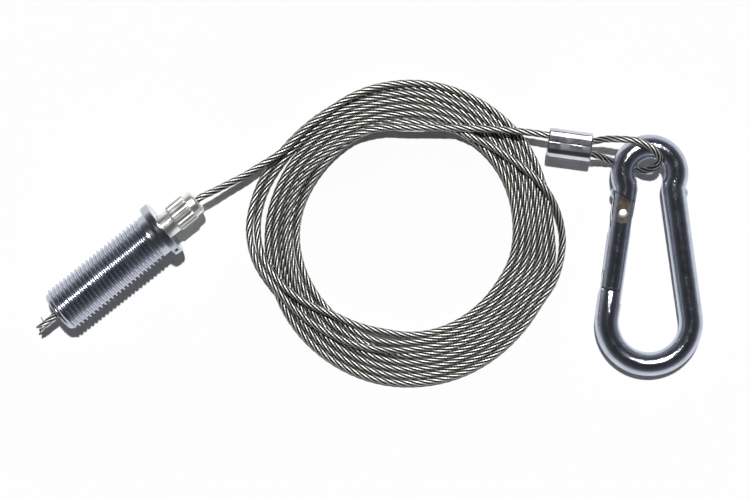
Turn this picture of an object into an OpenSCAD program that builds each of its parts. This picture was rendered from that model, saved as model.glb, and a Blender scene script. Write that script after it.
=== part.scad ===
// Wire-rope suspension kit: a rope gripper with an M10x1 threaded barrel, a coiled
// wire rope, a crimped ferrule and a 5 x 50 snap hook.
// The kit lies flat. +Z is up and z = 0 is the surface that it lies on.
// The origin is under the middle of the gripper and the hook together.

/* [Rope] */
// Rope diameter
rope_d = 1.5; // [1.3:0.1:1.5]
// Free end that sticks out of the barrel
tail_len = 5.7; // [5.2:0.1:8]

/* [Coil] */
// Outer radius of the wound rope
coil_outer_r = 34.3; // [32:0.1:36]
// Inner radius of the wound rope
coil_inner_r = 20.4; // [18:0.1:22]
// Height of the wound rope
coil_h = 5.0; // [4:0.1:6]

/* [Barrel] */
// Outer diameter of the thread
barrel_d = 10; // [9.8:0.1:10.4]
// Length of the barrel below the flange
barrel_len = 26.8; // [26:0.1:32]
// Thread pitch
thread_pitch = 1; // [0.75:0.25:1]
// Flange diameter
flange_d = 12.3; // [12:0.1:16]
// Flange thickness
flange_t = 1.8; // [1.5:0.1:2.2]

/* [Release button] */
// Diameter of the button's stem and nose
stem_d = 5.3; // [5.2:0.05:5.4]
// Diameter of the fluted band
band_d = 5.94; // [5.8:0.02:6.2]
// How far the button stands out of the flange
button_len = 8.7; // [8.2:0.1:9.5]
// How far the button can be pressed in
press_travel = 2.2; // [1:0.1:2.2]
// Number of flutes on the band
flutes = 24; // [16:1:26]
// Diameter of the clamping balls
ball_d = 2.38; // [2.2:0.02:2.4]

/* [Ferrule] */
// Length of the ferrule
ferrule_len = 9.2; // [8:0.1:11]
// Width across both rope strands
ferrule_w = 6.0; // [5.4:0.1:6.6]
// Thickness of the ferrule
ferrule_h = 3.6; // [3:0.1:4]

/* [Snap hook] */
// Diameter of the hook's wire
wire_d = 5; // [4.8:0.1:5.2]
// Overall length of the hook
hook_len = 50.5; // [49.5:0.1:52]
// Centreline radius of the small eye
eye_r = 5.6; // [5.4:0.1:5.8]
// Centreline radius of the wide bow
bow_r = 8.8; // [8.6:0.1:9.4]
// Slope of the limbs between eye and bow, in degrees
limb_slope = 8; // [7:0.5:9]
// Diameter of the gate
gate_d = 4.7; // [4.5:0.1:4.8]
// Diameter of the gate's rivet
rivet_d = 1.9; // [1.6:0.1:2]

/* [Hidden] */
$fn = 64;
eps = 0.01;

// Gripper: a frame of its own, with X along the barrel towards the button and the
// flange's seating face at X = 0. It rests on the flange's edge and the barrel's end.
end_chamfer = 1.1;
end_r = barrel_d / 2 - 0.8;
gripper_tilt = atan((flange_d - barrel_d) / 2 / (barrel_len - end_chamfer));
gripper_turn = 39;
gripper_seat = [-44.8, 4.9, flange_d / 2 * cos(gripper_tilt)];

thread_depth = 0.54 * thread_pitch;
thread_root_r = barrel_d / 2 - thread_depth;
relief_len = 2.1;
relief_r = barrel_d / 2 - 0.15;
// A shallow groove in the seating face clears the thread's crests.
undercut = 0.1;
seat_inner_r = barrel_d / 2 + 0.3;
thread_first = -barrel_len + end_chamfer + 0.2;
thread_turns = floor((barrel_len - end_chamfer - 0.2 - relief_len) / thread_pitch);

stem_hole_r = stem_d / 2 + 0.05;
cone_start = -1;
cone_len = 10.4;
cone_angle = 6;
bore_r = stem_hole_r + cone_len * tan(cone_angle);
edge_round = 0.2;

ball_gap = 0.02;
ball_out = rope_d / 2 + ball_d / 2 + ball_gap;
cone_r_at_ball = ball_out + (ball_d / 2 + ball_gap) / cos(cone_angle);
ball_x = cone_start - (cone_r_at_ball - stem_hole_r) / tan(cone_angle);

rope_hole_r = 0.95;
cage_r = 2.5;
cage_front = -0.7;
spigot_r = 1.7;
spigot_end = 3;
collar_r = bore_r - 0.24;
collar_front = -13;
collar_back = -14.5;
window_r = ball_d / 2 + 0.06;

neck_len = press_travel + 0.1;
band_len = 4.5;
band_chamfer = 0.25;
nose_x = flange_t + button_len;
nose_round = 0.5;
flute_r = 0.2;

plug_front = -23.5;
plug_back = -26.5;
plug_hole_r = 1.0;
spring_turns = 6.5;
spring_r = 3.0;
spring_wire_d = 0.55;

// Hook: a frame of its own, with the eye's centre at the origin, Y towards the top of
// the eye and Z square to the hook. The bow lies on the surface and the eye on the rope.
eye_to_bow = hook_len - wire_d - eye_r - bow_r;
rope_under_hook_z = 1.1;
rope_crossing_y = 1.8;
rope_gap = 0.04;
hook_tilt = asin((rope_under_hook_z + rope_d / 2 + rope_gap)
    / (eye_to_bow + bow_r + rope_crossing_y));
hook_place = [57.6, 17.15, wire_d / 2 + (eye_to_bow + bow_r) * sin(hook_tilt)];

// Each limb is a straight wire, and a reverse bend at the neck joins it to the eye.
limb_foot = [bow_r * cos(limb_slope), -eye_to_bow + bow_r * sin(limb_slope)];
function limb_x(y) = limb_foot.x - (y - limb_foot.y) * tan(limb_slope);
neck_r = 2.8;
limb_out = limb_foot * [cos(limb_slope), sin(limb_slope)];
neck_turn = acos((limb_out + neck_r) / (eye_r + neck_r));
neck_angle = neck_turn - limb_slope;
neck_centre = (eye_r + neck_r) * [cos(neck_angle), -sin(neck_angle)];
limb_top = neck_centre - neck_r * [cos(limb_slope), sin(limb_slope)];
limb_way = [-sin(limb_slope), cos(limb_slope)];
function mirrored(p) = [-p.x, p.y];
// Stretches of the wire lap by a little, and each is a hair thinner than the one it enters.
lap = 0.15;
neck_lap = 3;
step = 0.02;

// Gate: a frame of its own, with the rivet at the origin, Y along the gate towards the
// eye and X into the hook.
rivet_y = -8.33;
gate_len = 15.85;
gate_gap = 0.23;
shoulder_line = [[-2.45, 4.5], [1.82, 2.88]];
shoulder_gap = 0.14;
ear_round_r = 3.2;
tongue_t = 2.0;
tongue_half_w = 2.0;
tongue_down = 2.2;
slot_t = tongue_t + 0.1;
slot_down = 3.3;
ear_t = 1.95;
ear_down = 1.9;
spring_bore_r = 1.35;
spring_bore_down = 10.3;
pusher_r = 1.25;
pusher_tip_t = tongue_t - 0.1;
pusher_top = tongue_down + 0.05;
pusher_shoulder = slot_down + 0.1;
pusher_bottom = 5.2;
nose_half_t = tongue_t / 2;
nose_left = -2.2;
nose_right = 1.0;
nose_top = -12.75;
latch_slot_right = 1.15;
latch_slot_top = -12.4;
lip_x = 1.45;
lip_len = 2.8;
lip_notch_x = 1.35;
lip_notch_len = 3.0;
notch_ramp_end = 5.3;
notch_web_half_t = 0.9;
rivet_head_r = 1.0;
rivet_head_h = 0.3;
gate_spring_turns = 7;
gate_spring_r = 0.95;
gate_spring_wire_d = 0.35;

// Rope. The route's points are in the kit's frame. The rope lies on the surface where it
// is coiled, and its stiff eye rises over the hook's wire and dips under it.
ferrule_place = [40.85, 23.1, 5.2];
ferrule_turn = -7.7;
ferrule_side = 1.33;
ferrule_bore_r = rope_d / 2 + 0.01;
coil_place = [7.0, 4.7];
function on_ferrule(along, side) = ferrule_place
    + along * [cos(ferrule_turn), sin(ferrule_turn), 0]
    + side * [-sin(ferrule_turn), cos(ferrule_turn), 0];
function on_gripper(x) = gripper_seat
    + x * [cos(gripper_tilt) * cos(gripper_turn), cos(gripper_tilt) * sin(gripper_turn),
        sin(gripper_tilt)];

lead_route = concat([on_gripper(nose_x), on_gripper(nose_x + 1)],
    [[-34.0, 13.0, 6.2], [-30.5, 14.8, 5.0], [-26.5, 16.9, 4.0], [-24.2, 18.4, 3.5],
    [-21.6, 20.0, 3.2], [-18.7, 22.1, 3.0]]);
ferrule_lead_route = concat([[28.0, 26.1, 4.6], [31.0, 25.8, 4.8], [33.5, 25.5, 5.0]],
    [on_ferrule(-ferrule_len / 2, ferrule_side)]);
eye_route = concat(
    [on_ferrule(-ferrule_len / 2, ferrule_side), on_ferrule(ferrule_len / 2, ferrule_side)],
    [[47.9, 24.2, 6.2], [49.9, 24.2, 7.1], [52.0, 24.1, 7.7], [54.0, 23.9, 8.0],
    [55.9, 23.3, 8.1], [57.6, 22.4, 8.1], [59.0, 21.0, 7.8], [59.4, 19.6, 6.8],
    [58.6, 18.3, 5.4], [57.3, 17.8, 4.0], [55.9, 17.8, 2.7], [54.5, 18.2, 1.6],
    [52.5, 18.9, 0.9], [50.4, 19.6, 1.4], [48.6, 20.2, 2.7], [46.9, 20.8, 4.1]],
    [on_ferrule(ferrule_len / 2, -ferrule_side), on_ferrule(-ferrule_len / 2, -ferrule_side)]);

// Sweep of a round section along a route. Each ring's axes are carried on from the last.
function unit(v) = v / norm(v);
function tangents(p) = [for (i = [0 : len(p) - 1])
    unit(p[min(i + 1, len(p) - 1)] - p[max(i - 1, 0)])];
function squared(n, t) = unit(n - t * (n * t));
function normals(t) = [for (i = 0, n = squared([0, 0, 1], t[0]); i < len(t);
    i = i + 1, n = squared(n, t[min(i, len(t) - 1)])) n];

module tube(route, d, sides = 8) {
    along = tangents(route);
    up = normals(along);
    last = len(route) - 1;
    points = [for (i = [0 : last]) for (k = [0 : sides - 1])
        route[i] + d / 2 * (cos(360 * k / sides) * up[i]
            + sin(360 * k / sides) * cross(along[i], up[i]))];
    function at(i, k) = i * sides + k % sides;
    walls = [for (i = [0 : last - 1]) for (k = [0 : sides - 1])
        each [[at(i, k), at(i + 1, k), at(i + 1, k + 1)],
            [at(i, k), at(i + 1, k + 1), at(i, k + 1)]]];
    first_cap = [for (k = [0 : sides - 1]) at(0, k)];
    last_cap = [for (k = [sides - 1 : -1 : 0]) at(last, k)];
    polyhedron(points, concat(walls, [first_cap], [last_cap]));
}

// A coil spring along Z, from z = 0 to z = length
function helix(r, length, turns, wire_d) = [for (i = [0 : 10 * turns])
    [r * cos(36 * i), r * sin(36 * i), wire_d / 2 + (length - wire_d) * i / (10 * turns)]];

module at_gripper() translate(gripper_seat) rotate([0, -gripper_tilt, gripper_turn]) children();

// A solid of revolution about X, from points [radius, x]
module turned(profile) rotate([0, 90, 0]) rotate_extrude() polygon(profile);

module at_hook() translate(hook_place) rotate([hook_tilt, 0, 0]) children();

module at_gate() at_hook() translate([-limb_x(rivet_y), rivet_y, 0])
    rotate([0, 0, -limb_slope]) children();

// A round bar between two points of the hook's plane
module bar(from, to, d) translate([from.x, from.y, 0])
    rotate([0, 0, atan2(to.y - from.y, to.x - from.x)])
    rotate([0, 90, 0]) cylinder(h = norm(to - from), d = d);

// A bent stretch of the hook's wire, from an angle and over a turn
module bend(radius, from, turn, d) rotate([0, 0, from]) rotate_extrude(angle = turn)
    translate([radius, 0]) circle(d = d);

// One ridge of the thread as [radius, x], starting at x
function ridge(x) = [[thread_root_r, x], [barrel_d / 2, x + 0.3125 * thread_pitch],
    [barrel_d / 2, x + 0.4375 * thread_pitch], [thread_root_r, x + 0.75 * thread_pitch]];

module threaded_barrel() color([0.62, 0.65, 0.68]) at_gripper() difference() {
    turned(concat([[0, -barrel_len], [end_r, -barrel_len],
        [barrel_d / 2 - 0.1, -barrel_len + end_chamfer]],
        [for (i = [0 : thread_turns - 1]) each ridge(thread_first + i * thread_pitch)],
        [[thread_root_r, -relief_len], [relief_r, -relief_len + 0.3], [relief_r, undercut],
        [seat_inner_r, undercut], [seat_inner_r, 0],
        [flange_d / 2 - edge_round, 0], [flange_d / 2, edge_round],
        [flange_d / 2, flange_t - edge_round], [flange_d / 2 - edge_round, flange_t],
        [0, flange_t]]));
    turned([[0, flange_t + 1], [stem_hole_r, flange_t + 1], [stem_hole_r, cone_start],
        [bore_r, cone_start - cone_len], [bore_r, -barrel_len - 1],
        [0, -barrel_len - 1]]);
}

module barrel_plug() color([0.55, 0.57, 0.6]) at_gripper()
    turned([[plug_hole_r, plug_front], [bore_r, plug_front], [bore_r, plug_back],
        [plug_hole_r + 0.4, plug_back], [plug_hole_r, plug_back + 0.4]]);

module release_button() color([0.78, 0.78, 0.76]) at_gripper() difference() {
    band_x = flange_t + neck_len;
    turned([[0, cage_front], [stem_d / 2, cage_front], [stem_d / 2, band_x],
        [band_d / 2 - band_chamfer, band_x], [band_d / 2, band_x + band_chamfer],
        [band_d / 2, band_x + band_len - band_chamfer],
        [band_d / 2 - band_chamfer, band_x + band_len], [stem_d / 2, band_x + band_len],
        [stem_d / 2, nose_x - nose_round], [stem_d / 2 - nose_round, nose_x],
        [0, nose_x]]);
    turned([[0, cage_front - 1], [spigot_r, cage_front - 1], [spigot_r, spigot_end],
        [rope_hole_r, spigot_end], [rope_hole_r, nose_x - 0.6],
        [rope_hole_r + 0.6, nose_x], [rope_hole_r + 0.6, nose_x + 1], [0, nose_x + 1]]);
    for (k = [0 : flutes - 1])
        rotate([360 * k / flutes, 0, 0]) translate([band_x - 0.5, 0, band_d / 2 + 0.06])
            rotate([0, 90, 0]) cylinder(h = band_len + 1, r = flute_r, $fn = 24);
}

module ball_cage() color([0.72, 0.6, 0.35]) at_gripper() difference() {
    turned([[rope_hole_r, collar_back], [collar_r, collar_back], [collar_r, collar_front],
        [cage_r, collar_front], [cage_r, cage_front], [spigot_r, cage_front],
        [spigot_r, spigot_end], [rope_hole_r, spigot_end]]);
    for (turn = [0, 120, 240])
        rotate([turn, 0, 0]) translate([ball_x, 0, 0]) cylinder(h = cage_r + 1, r = window_r);
}

module clamping_ball(turn) color([0.8, 0.8, 0.82]) at_gripper()
    rotate([turn, 0, 0]) translate([ball_x, 0, ball_out]) sphere(d = ball_d);

module release_spring() color([0.5, 0.52, 0.55]) at_gripper()
    translate([plug_front, 0, 0]) rotate([0, 90, 0])
    tube(helix(spring_r, collar_back - plug_front, spring_turns, spring_wire_d),
        spring_wire_d, 6);

module rope_tail() color([0.42, 0.43, 0.42]) at_gripper()
    translate([-barrel_len - tail_len, 0, 0]) rotate([0, 90, 0])
    cylinder(h = barrel_len + tail_len + nose_x, d = rope_d);

module rope_lead() color([0.42, 0.43, 0.42]) tube(lead_route, rope_d);

module rope_coil() color([0.42, 0.43, 0.42]) translate(coil_place) rotate_extrude()
    polygon([[coil_inner_r, 1], [coil_inner_r + 1, 0], [coil_outer_r - 1, 0],
        [coil_outer_r, 1], [coil_outer_r, 2.2], [coil_outer_r - 3, coil_h],
        [coil_inner_r + 2, coil_h], [coil_inner_r, coil_h - 2]]);

module rope_ferrule_lead() color([0.42, 0.43, 0.42]) tube(ferrule_lead_route, rope_d);

module rope_eye() color([0.42, 0.43, 0.42]) tube(eye_route, rope_d);

module ferrule() color([0.68, 0.7, 0.72])
    translate(ferrule_place) rotate([0, 0, ferrule_turn]) difference() {
        half_w = ferrule_w / 2;
        half_h = ferrule_h / 2;
        rotate([90, 0, 90]) linear_extrude(ferrule_len, center = true)
            polygon([[half_w, -0.7], [half_w, 0.7], [half_w - 0.95, half_h],
                [0.95 - half_w, half_h], [-half_w, 0.7], [-half_w, -0.7],
                [0.95 - half_w, -half_h], [half_w - 0.95, -half_h]]);
        for (side = [-ferrule_side, ferrule_side])
            translate([-ferrule_len / 2 - 1, side, 0]) rotate([0, 90, 0])
                cylinder(h = ferrule_len + 2, r = ferrule_bore_r);
    }

// The side of the shoulder line that the gate lies on, moved down by gap
module below_shoulder(gap) {
    turn = atan2(shoulder_line[1].y - shoulder_line[0].y,
        shoulder_line[1].x - shoulder_line[0].x);
    translate(shoulder_line[0]) rotate(turn) translate([-10, -30 - gap]) square([30, 30]);
}

module hook_body() color([0.6, 0.63, 0.68]) {
    at_hook() difference() {
        union() {
            bend(eye_r, -neck_angle, 180 + 2 * neck_angle, wire_d);
            translate([0, -eye_to_bow, 0])
                bend(bow_r, 180 - limb_slope, 180 + 2 * limb_slope, wire_d);
            for (side = [0, 1]) mirror([side, 0, 0]) translate(neck_centre)
                bend(neck_r, 180 - neck_angle - neck_lap, neck_turn + neck_lap, wire_d - step);
            bar(limb_foot - lap * limb_way, limb_top + lap * limb_way, wire_d - 2 * step);
            bar(mirrored(limb_top + lap * limb_way), [-limb_x(rivet_y + 1), rivet_y + 1],
                wire_d - 2 * step);
            bar(mirrored(limb_foot - lap * limb_way),
                [-limb_x(rivet_y - gate_len), rivet_y - gate_len], wire_d - 2 * step);
        }
        translate([-limb_x(rivet_y), rivet_y, 0]) rotate([0, 0, -limb_slope]) {
            translate([0, 0, -wire_d]) linear_extrude(2 * wire_d) intersection() {
                below_shoulder(0);
                translate([-6, -4]) square([12, 12]);
            }
            translate([-6, -gate_len - gate_gap, -wire_d]) cube([12, 4, 2 * wire_d]);
            translate([lip_notch_x, -gate_len - lip_notch_len, -wire_d])
                cube([4, lip_notch_len + 1, 2 * wire_d]);
            for (side = [0, 1]) mirror([0, 0, side])
                translate([0, -gate_len, notch_web_half_t]) linear_extrude(wire_d)
                polygon([[lip_notch_x, 1], [lip_notch_x, -lip_notch_len - 0.2],
                    [wire_d / 2, -notch_ramp_end], [6, -notch_ramp_end], [6, 1]]);
        }
    }
    at_gate() difference() {
        union() {
            translate([0, 0, -tongue_t / 2]) linear_extrude(tongue_t)
                polygon([[-2.3, 5.0], [-2.3, 0], [-tongue_half_w, -tongue_down],
                    [tongue_half_w, -tongue_down], [2.2, 0], [2.2, 3.4], [0, 5.0]]);
            translate([nose_left, -gate_len - 1, -nose_half_t])
                cube([nose_right - nose_left, gate_len + 1 + nose_top, 2 * nose_half_t]);
        }
        cylinder(h = wire_d, d = rivet_d, center = true);
    }
}

module gate() color([0.58, 0.61, 0.67]) at_gate() difference() {
    intersection() {
        union() {
            translate([0, -gate_len, 0]) rotate([-90, 0, 0])
                cylinder(h = gate_len + 6, d = gate_d);
            intersection() {
                translate([0, -gate_len - lip_len, 0]) rotate([-90, 0, 0])
                    cylinder(h = lip_len + 1, d = gate_d);
                translate([lip_x, -gate_len - lip_len, -gate_d]) cube([4, lip_len + 1, 2 * gate_d]);
            }
        }
        translate([0, 0, -wire_d]) linear_extrude(2 * wire_d) intersection() {
            below_shoulder(shoulder_gap);
            union() {
                circle(r = ear_round_r);
                translate([-4, 0]) square([5.1, 8]);
                translate([-4, -30]) square([8, 30]);
            }
        }
    }
    for (side = [0, 1]) mirror([0, 0, side])
        translate([-4, -ear_down, ear_t]) cube([8, 10, 2]);
    translate([-4, -slot_down, -slot_t / 2]) cube([8, 12, slot_t]);
    translate([0, -spring_bore_down, 0]) rotate([-90, 0, 0])
        cylinder(h = spring_bore_down, r = spring_bore_r);
    translate([-4, -gate_len - 1, -slot_t / 2])
        cube([4 + latch_slot_right, gate_len + 1 + latch_slot_top, slot_t]);
    cylinder(h = wire_d, d = rivet_d + 0.1, center = true);
}

module gate_rivet() color([0.9, 0.89, 0.84]) at_gate() {
    cylinder(h = 2 * ear_t + 0.1, d = rivet_d, center = true);
    for (side = [0, 1]) mirror([0, 0, side]) translate([0, 0, ear_t + 0.03])
        cylinder(h = rivet_head_h, r1 = rivet_head_r, r2 = rivet_head_r - 0.25);
}

module gate_pusher() color([0.55, 0.5, 0.42]) at_gate() {
    translate([0, -pusher_bottom, 0]) rotate([-90, 0, 0])
        cylinder(h = pusher_bottom - pusher_shoulder, r = pusher_r);
    intersection() {
        translate([0, -pusher_shoulder - eps, 0]) rotate([-90, 0, 0])
            cylinder(h = pusher_shoulder - pusher_top + eps, r = pusher_r);
        cube([4, 2 * pusher_bottom, pusher_tip_t], center = true);
    }
}

module gate_spring() color([0.5, 0.52, 0.55]) at_gate()
    translate([0, -spring_bore_down, 0]) rotate([-90, 0, 0])
    tube(helix(gate_spring_r, spring_bore_down - pusher_bottom, gate_spring_turns,
        gate_spring_wire_d), gate_spring_wire_d, 5);

threaded_barrel();
barrel_plug();
release_button();
ball_cage();
clamping_ball(0);  // clamping_ball_upper
clamping_ball(120);  // clamping_ball_left
clamping_ball(240);  // clamping_ball_right
release_spring();
rope_tail();
rope_lead();
rope_coil();
rope_ferrule_lead();
rope_eye();
ferrule();
hook_body();
gate();
gate_rivet();
gate_pusher();
gate_spring();
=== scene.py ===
"""Looks of the wire-rope suspension kit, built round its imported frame.

Shapes are worked out in millimetres and stored in metres. Each part has the frame of
its own that part.scad gives it: the gripper with X along the barrel, the hook with the
eye's centre at the origin, and the gate with the rivet at the origin.
"""
import math

import bmesh
import bpy
import numpy as np
from mathutils import Matrix, Vector
from mathutils.kdtree import KDTree


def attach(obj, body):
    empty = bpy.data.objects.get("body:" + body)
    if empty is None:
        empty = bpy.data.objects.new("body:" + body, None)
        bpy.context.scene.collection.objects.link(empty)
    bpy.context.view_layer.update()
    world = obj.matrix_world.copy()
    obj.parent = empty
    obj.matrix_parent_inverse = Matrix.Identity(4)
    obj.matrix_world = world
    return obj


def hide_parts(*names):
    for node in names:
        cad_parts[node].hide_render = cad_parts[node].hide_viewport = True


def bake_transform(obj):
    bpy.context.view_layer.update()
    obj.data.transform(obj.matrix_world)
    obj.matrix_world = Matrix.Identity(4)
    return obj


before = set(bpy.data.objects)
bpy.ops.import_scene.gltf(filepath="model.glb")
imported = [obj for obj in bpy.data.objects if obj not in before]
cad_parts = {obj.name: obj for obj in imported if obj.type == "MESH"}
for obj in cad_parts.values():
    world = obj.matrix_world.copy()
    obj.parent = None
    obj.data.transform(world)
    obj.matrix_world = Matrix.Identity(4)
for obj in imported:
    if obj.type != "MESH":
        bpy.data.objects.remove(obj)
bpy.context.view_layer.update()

MM = 0.001
TAU = 2 * math.pi


# ---------------------------------------------------------------- camera

CAMERA_AT = (0.3, 1.15, 600.0)
CAMERA_LENS = 137.06


def add_camera():
    """The camera looks straight down, from 0.6 m above the floor."""
    data = bpy.data.cameras.new("camera")
    data.sensor_width = 36
    data.lens = CAMERA_LENS
    camera = bpy.data.objects.new("camera", data)
    camera.location = [v * MM for v in CAMERA_AT]
    bpy.context.scene.collection.objects.link(camera)
    bpy.context.scene.camera = camera


add_camera()


# ---------------------------------------------------------------- frames of the parts

def shift(x, y, z=0.0):
    return Matrix.Translation((x, y, z))


def turn(degrees, axis):
    return Matrix.Rotation(math.radians(degrees), 4, axis)


def along(matrix, points):
    """Points, one a row, taken through a matrix."""
    m = np.array(matrix)
    return np.asarray(points, float) @ m[:3, :3].T + m[:3, 3]


# The gripper rests on its flange and on the rim of its barrel.
GRIPPER_TILT = math.degrees(math.atan(1.15 / 25.7))
GRIPPER_TURN = 39
GRIPPER_AT = (-44.8, 4.9)
FLANGE_R = 6.15
gripper_frame = (shift(*GRIPPER_AT, FLANGE_R * math.cos(math.radians(GRIPPER_TILT)))
                 @ turn(GRIPPER_TURN, "Z") @ turn(-GRIPPER_TILT, "Y"))

EYE_R = 5.6
BOW_R = 8.8
EYE_TO_BOW = 31.1
WIRE_R = 2.5
SLOPE = 8
# The hook rests on its bow, and its eye hangs a little higher on the rope.
HOOK_TILT = math.degrees(math.asin(1.89 / 41.7))
HOOK_AT = (57.6, 17.15)
EYE_RISE = (EYE_TO_BOW + BOW_R) * math.sin(math.radians(HOOK_TILT))
hook_frame = (shift(*HOOK_AT, WIRE_R + EYE_RISE)
              @ turn(HOOK_TILT, "X"))

RIVET_Y = -8.33
GATE_LEN = 15.85
GATE_R = 2.35
slope_way = np.array([math.cos(math.radians(SLOPE)), math.sin(math.radians(SLOPE))])
limb_foot = np.array([0, -EYE_TO_BOW]) + BOW_R * slope_way


def limb_x(y):
    """How far the middle of a limb is from the hook's axis at that y."""
    return limb_foot[0] - (y - limb_foot[1]) * math.tan(math.radians(SLOPE))


gate_frame = hook_frame @ shift(-limb_x(RIVET_Y), RIVET_Y) @ turn(-SLOPE, "Z")

FERRULE_LEN = 9.2
FERRULE_SIDE = 1.33
ferrule_frame = shift(40.85, 23.1, 5.2) @ turn(-7.7, "Z")


def on_gripper(x):
    return along(gripper_frame, [[x, 0, 0]])[0]


def on_ferrule(x, side):
    return along(ferrule_frame, [[x, side, 0]])[0]


# ---------------------------------------------------------------- mesh tools

def add_mesh(name, points, faces, place=None, uv=None, sharp=None):
    """A mesh object from points in millimetres. sharp is the angle that stays an edge."""
    points = np.asarray(points, float)
    if place is not None:
        points = along(place, points)
    mesh = bpy.data.meshes.new(name)
    mesh.from_pydata((points * MM).tolist(), [], faces)
    if uv is not None:
        layer = mesh.uv_layers.new(name="length")
        corners = np.empty(len(mesh.loops), int)
        mesh.loops.foreach_get("vertex_index", corners)
        layer.data.foreach_set("uv", np.asarray(uv, np.float32)[corners].ravel())
    mesh.update()
    piece = bpy.data.objects.new(name, mesh)
    bpy.context.scene.collection.objects.link(piece)
    smooth(piece, sharp)
    return piece


def smooth(piece, sharp=None):
    """Smooth shading, with an edge where faces meet at more than sharp degrees."""
    piece.data.polygons.foreach_set("use_smooth", [True] * len(piece.data.polygons))
    if sharp:
        piece.data.set_sharp_from_angle(angle=math.radians(sharp))


def join_up(piece, reach=0.0005 * MM):
    """Merges points that lie on each other and turns the faces outwards."""
    bm = bmesh.new()
    bm.from_mesh(piece.data)
    bmesh.ops.remove_doubles(bm, verts=bm.verts, dist=reach)
    bmesh.ops.dissolve_degenerate(bm, edges=bm.edges, dist=reach)
    bmesh.ops.recalc_face_normals(bm, faces=bm.faces)
    bm.to_mesh(piece.data)
    bm.free()


def grid_faces(rings, sides):
    """Quads between rings of points, closed round each ring."""
    return [(i * sides + k, i * sides + (k + 1) % sides,
             (i + 1) * sides + (k + 1) % sides, (i + 1) * sides + k)
            for i in range(rings - 1) for k in range(sides)]


def lids(rings, sides):
    """The faces that fill the first and the last ring."""
    last = (rings - 1) * sides
    return [tuple(range(sides))[::-1], tuple(range(last, last + sides))]


def run_along(points):
    """The distance from the first point to each point, along the line."""
    return np.concatenate([[0], np.cumsum(np.linalg.norm(np.diff(points, axis=0), axis=1))])


def carried_axes(route):
    """Directions along a route, and two axes square to it that don't twist."""
    ways = np.gradient(route, axis=0)
    ways /= np.linalg.norm(ways, axis=1)[:, None]
    side = np.array([0.0, 0.0, 1.0]) if abs(ways[0][2]) < 0.9 else np.array([1.0, 0.0, 0.0])
    sides = []
    for way in ways:
        side = side - way * (side @ way)
        side = side / np.linalg.norm(side)
        sides.append(side)
    sides = np.array(sides)
    return sides, np.cross(ways, sides)


def sweep(name, route, radius, sides=16, place=None, sharp=50):
    """A round bar along a route. radius is a number, or one for each point."""
    route = np.asarray(route, float)
    up, over = carried_axes(route)
    radius = np.broadcast_to(np.asarray(radius, float), len(route))
    angles = TAU * np.arange(sides) / sides
    points = (route[:, None] + radius[:, None, None]
              * (np.cos(angles)[None, :, None] * up[:, None]
                 + np.sin(angles)[None, :, None] * over[:, None])).reshape(-1, 3)
    uv = [(k / sides, s / 10) for s in run_along(route) for k in range(sides)]
    faces = grid_faces(len(route), sides) + lids(len(route), sides)
    return add_mesh(name, points, faces, place, uv, sharp)


def lathe(name, profile, place, sides=96, relief=None, sharp=40, closed=False, caps=True):
    """A skin turned about X, from (x, radius) points. relief(x, angle) is taken off.

    closed joins the last ring to the first, and caps fills both end rings.
    """
    profile = np.asarray(profile, float)
    angles = TAU * np.arange(sides) / sides
    points, uv = [], []
    for (x, r), s in zip(profile, run_along(profile)):
        for a in angles:
            depth = relief(x, a) if relief else 0
            points.append((x, (r - depth) * math.cos(a), (r - depth) * math.sin(a)))
            uv.append((a / TAU, s / 10))
    faces = grid_faces(len(profile), sides)
    if closed:
        last = (len(profile) - 1) * sides
        faces += [(last + k, last + (k + 1) % sides, (k + 1) % sides, k) for k in range(sides)]
    elif caps:
        faces += lids(len(profile), sides)
    piece = add_mesh(name, points, faces, place, uv)
    join_up(piece)
    smooth(piece, sharp)
    return piece


def prism(name, outline, low, high, place):
    """A straight-sided block with that outline, from z = low to high."""
    n = len(outline)
    points = [(x, y, z) for z in (low, high) for x, y in outline]
    walls = [(k, (k + 1) % n, n + (k + 1) % n, n + k) for k in range(n)]
    return add_mesh(name, points, walls + [tuple(range(n))[::-1], tuple(range(n, 2 * n))],
                    place, sharp=10)


def box_outline(x0, x1, y0, y1):
    return [(x0, y0), (x1, y0), (x1, y1), (x0, y1)]


def carve(piece, tools, operation="DIFFERENCE"):
    """Cuts the tools off the piece, or unites them with it, and removes the tools."""
    for tool in tools:
        modifier = piece.modifiers.new("carve", "BOOLEAN")
        modifier.operation = operation
        modifier.solver = "EXACT"
        modifier.object = tool
    bpy.context.view_layer.update()
    result = bpy.data.meshes.new_from_object(
        piece.evaluated_get(bpy.context.evaluated_depsgraph_get()))
    piece.modifiers.clear()
    piece.data = result
    for tool in tools:
        bpy.data.objects.remove(tool)
    join_up(piece)
    smooth(piece, 35)
    return piece


# ---------------------------------------------------------------- materials

def nodes_of(name):
    """A new material, its node tree, its shader and a function that adds nodes."""
    material = bpy.data.materials.new(name)
    material.use_nodes = True
    tree = material.node_tree
    shader = tree.nodes["Principled BSDF"]

    def add(kind, **values):
        node = tree.nodes.new(kind)
        for key, value in values.items():
            if key in node.inputs:
                node.inputs[key].default_value = value
            else:
                setattr(node, key, value)
        return node

    return material, tree, shader, add


def ramp(add, tree, source, low, high, at=(0.3, 0.7)):
    """A colour ramp from one colour to another, driven by a socket."""
    node = add("ShaderNodeValToRGB")
    first, last = node.color_ramp.elements
    first.position, first.color = at[0], (*low, 1)
    last.position, last.color = at[1], (*high, 1)
    tree.links.new(source, node.inputs["Fac"])
    return node.outputs["Color"]


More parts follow.
